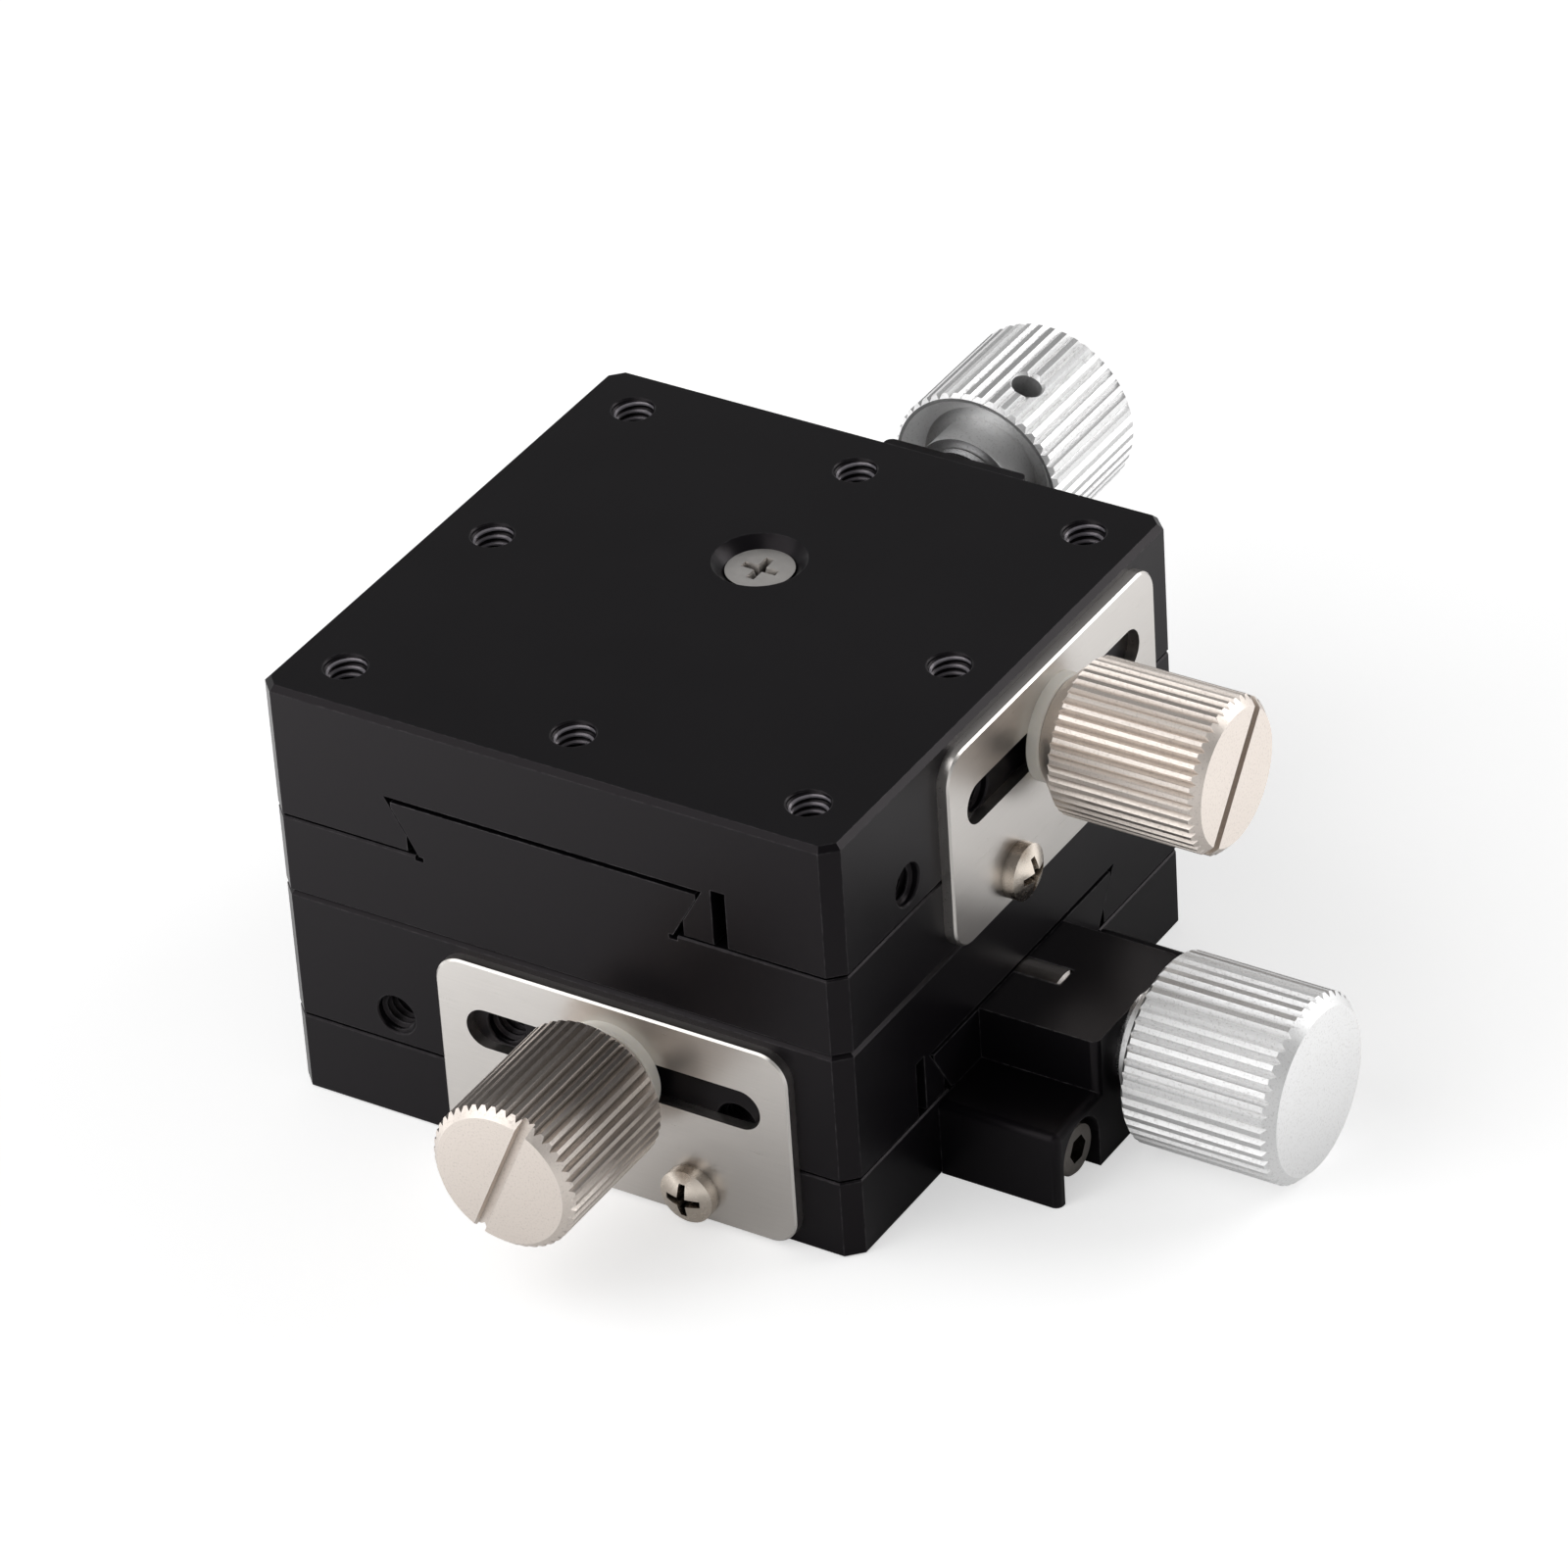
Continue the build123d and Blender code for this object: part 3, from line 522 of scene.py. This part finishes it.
def add_piece(name, mesh, body, slot, *materials):
    """Turns a mesh into a visible piece that rides on a body."""
    data = bpy.data.meshes.new(name)
    bmesh.ops.recalc_face_normals(mesh, faces=mesh.faces)
    mesh.to_mesh(data)
    mesh.free()
    piece = bpy.data.objects.new(name, data)
    scene.collection.objects.link(piece)
    for material in materials:
        data.materials.append(material)
    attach(piece, body)


for stage in STAGES:
    threads = bmesh.new()
    if stage == "upper":
        for x in (-1, 0, 1):
            for y in (-1, 0, 1):
                if x or y:
                    mouth = point(stage, x * HOLE_PITCH, y * HOLE_PITCH, STAGE_HEIGHT)
                    thread_ridge(threads, mouth, (0, 0, 1), TOP_HOLE_DEPTH, HIGHLIGHT_SLOT)
    side = along(stage, (0, -1, 0))
    for x, z, depth in (
        (-GIB_PLACE, GIB_HEIGHT, GIB_HOLE_DEPTH),
        (GIB_PLACE, GIB_HEIGHT, GIB_HOLE_DEPTH),
        (-CLAMP_PLACE, CLAMP_HEIGHT, CLAMP_HOLE_DEPTH),
    ):
        thread_ridge(threads, point(stage, x, -PLATE_HALF, z), side, depth, BLACK_SLOT)
    add_piece(f"{stage}_hole_threads", threads, f"{stage}_carriage", "black", BLACK, THREAD_HIGHLIGHT)


# ---- floor, light and camera -------------------------------------------------------------


def floor_material():
    """White floor: it takes shadows, glows evenly for the camera, and glows by place in mirrored
    rays as a painted reflection.
    """
    made, t, shader = start("white_floor", 0.0)
    shader.inputs["Roughness"].default_value = 0.9
    shader.inputs["Specular IOR Level"].default_value = 0.1
    shade = t.noise(t.place(), 3.0, 1.0)
    t.put(shader.inputs["Base Color"], t.mix(shade, (0.80, 0.80, 0.80, 1), (0.82, 0.82, 0.82, 1)))
    path = t.node("ShaderNodeLightPath")
    glossy, through = path.outputs["Is Glossy Ray"], path.outputs["Is Transmission Ray"]
    mirrored = t.math("ADD", glossy, through, clamp=True)
    parts = t.node("ShaderNodeSeparateXYZ", Vector=t.place())
    # Painted reflection: in mirrored rays the floor glows to the left and front, and not at all
    # close by on the right, a painted shadow in the reflections.
    left = t.span(parts.outputs["X"], -0.09, 0.02, LEFT_GLOW, 0.0)
    right = t.span(parts.outputs["X"], 0.045, 0.085, 0.0, RIGHT_GLOW)
    right = t.math("MULTIPLY", right, t.span(parts.outputs["Y"], -0.02, 0.01))
    front = t.span(parts.outputs["Y"], -0.08, -0.05, FRONT_GLOW, 0.0)
    level = t.math("ADD", t.math("ADD", left, right), front)
    direct = t.math("MULTIPLY", path.outputs["Is Camera Ray"], CAMERA_GLOW)
    strength = t.math("ADD", direct, t.math("MULTIPLY", mirrored, level))
    glow = t.node("ShaderNodeEmission", Strength=strength)
    both = t.node("ShaderNodeAddShader")
    t.put(both.inputs[0], shader.outputs["BSDF"])
    t.put(both.inputs[1], glow.outputs["Emission"])
    output = [n for n in t.tree.nodes if n.type == "OUTPUT_MATERIAL"][0]
    t.put(output.inputs["Surface"], both.outputs["Shader"])
    return made


def add_floor():
    mesh = bmesh.new()
    bmesh.ops.create_grid(mesh, x_segments=2, y_segments=2, size=FLOOR_HALF)
    data = bpy.data.meshes.new("floor")
    mesh.to_mesh(data)
    mesh.free()
    floor = bpy.data.objects.new("floor", data)
    floor.location.z = -FLOOR_DROP
    scene.collection.objects.link(floor)
    data.materials.append(floor_material())


def add_lamp(name, place, size, power):
    """Rectangular lamp, aimed at the part."""
    data = bpy.data.lights.new(name, "AREA")
    data.shape = "RECTANGLE"
    data.size, data.size_y = size
    data.energy = power
    lamp = bpy.data.objects.new(name, data)
    lamp.location = place
    lamp.rotation_mode = "QUATERNION"
    lamp.rotation_quaternion = (Vector(LAMP_AIM) - Vector(place)).to_track_quat("-Z", "Y")
    scene.collection.objects.link(lamp)


def add_world():
    """Room that is darker higher up, which keeps the black top face dark."""
    world = bpy.data.worlds.new("room")
    scene.world = world
    world.use_nodes = True
    world.node_tree.nodes.clear()
    t = Tree(world.node_tree)
    ray = t.node("ShaderNodeTexCoord").outputs["Generated"]
    parts = t.node("ShaderNodeSeparateXYZ", Vector=ray)
    level = t.span(parts.outputs["Z"], 0.05, 0.55, SKY_LOW, SKY_HIGH)
    back = t.node("ShaderNodeBackground", Color=(1, 1, 1, 1), Strength=level)
    output = t.node("ShaderNodeOutputWorld")
    t.put(output.inputs["Surface"], back.outputs["Background"])


def add_camera():
    azimuth, elevation, roll = (
        math.radians(v) for v in (CAMERA_AZIMUTH, CAMERA_ELEVATION, CAMERA_ROLL)
    )
    back = Vector(
        (
            math.sin(azimuth) * math.cos(elevation),
            -math.cos(azimuth) * math.cos(elevation),
            math.sin(elevation),
        )
    )
    right = Vector((math.cos(azimuth), math.sin(azimuth), 0))
    up = back.cross(right)
    leaned_right = right * math.cos(roll) + up * math.sin(roll)
    leaned_up = up * math.cos(roll) - right * math.sin(roll)
    data = bpy.data.cameras.new("camera")
    data.sensor_width = CAMERA_SENSOR
    data.lens = CAMERA_LENS
    data.clip_start, data.clip_end = CAMERA_NEAR, CAMERA_FAR
    camera = bpy.data.objects.new("camera", data)
    turn = Matrix((leaned_right, leaned_up, back)).transposed().to_4x4()
    camera.matrix_world = Matrix.Translation(CAMERA_PLACE) @ turn
    scene.collection.objects.link(camera)
    scene.camera = camera


scene.view_settings.view_transform = "Standard"
add_floor()
add_world()
add_lamp("key_lamp", (-0.30, -0.38, 0.42), (0.75, 0.75), 2.7)
add_lamp("side_lamp", (0.55, 0.70, 0.50), (0.6, 0.5), 3.0)
add_camera()
